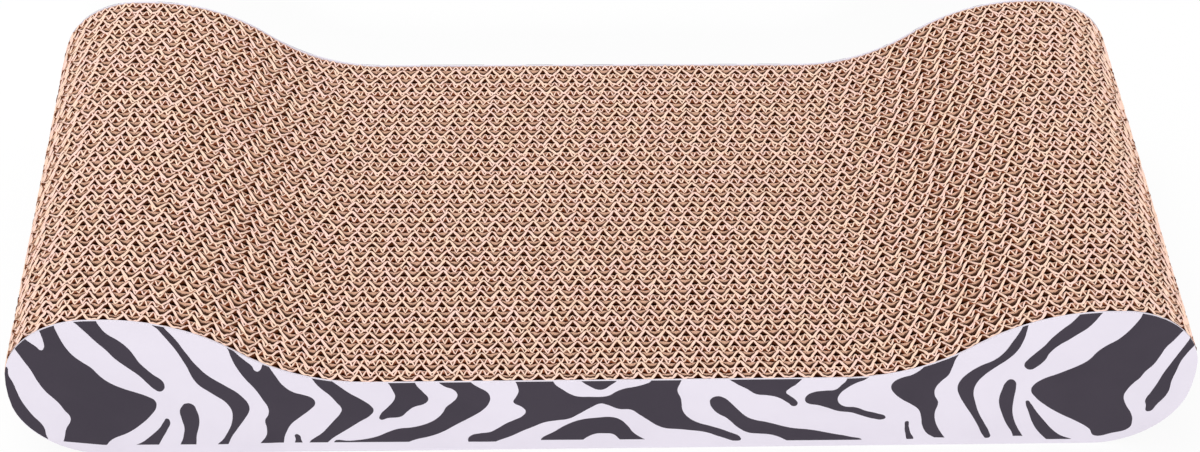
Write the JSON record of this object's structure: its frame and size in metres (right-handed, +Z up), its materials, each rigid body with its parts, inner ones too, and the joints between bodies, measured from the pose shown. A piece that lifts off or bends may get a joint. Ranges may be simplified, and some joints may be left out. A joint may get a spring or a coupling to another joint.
{
  "type": "cat scratch board",
  "caption": "Lounge-shaped corrugated cardboard cat scratcher: a fluted core with a flat seat between raised bolster ends, closed front and rear by zebra-striped covers.",
  "frame": {"origin": "on the floor, in the middle of the footprint", "axes": "+X along the length, +Y from the front cover to the rear cover, +Z up"},
  "size_m": [0.45, 0.1834, 0.075],
  "materials": {
    "kraft_board": "raw brown kraft corrugated board, cut edges open",
    "printed_cover": "satin printed board, dark zebra stripes on white"
  },
  "bodies": {
    "root": {"front_cover": "printed_cover", "rear_cover": "printed_cover", "core_board_01": "kraft_board", "core_board_02": "kraft_board", "core_board_03": "kraft_board", "core_board_04": "kraft_board", "core_board_05": "kraft_board", "core_board_06": "kraft_board", "core_board_07": "kraft_board", "core_board_08": "kraft_board", "core_board_09": "kraft_board", "core_board_10": "kraft_board", "core_board_11": "kraft_board", "core_board_12": "kraft_board", "core_board_13": "kraft_board", "core_board_14": "kraft_board", "core_board_15": "kraft_board", "core_board_16": "kraft_board", "core_board_17": "kraft_board", "core_board_18": "kraft_board", "core_board_19": "kraft_board", "core_board_20": "kraft_board", "core_board_21": "kraft_board", "core_board_22": "kraft_board", "core_board_23": "kraft_board", "core_board_24": "kraft_board", "core_board_25": "kraft_board", "core_board_26": "kraft_board", "core_board_27": "kraft_board", "core_board_28": "kraft_board", "core_board_29": "kraft_board", "core_board_30": "kraft_board", "core_board_31": "kraft_board", "core_board_32": "kraft_board", "core_board_33": "kraft_board"}
  },
  "joints": []
}
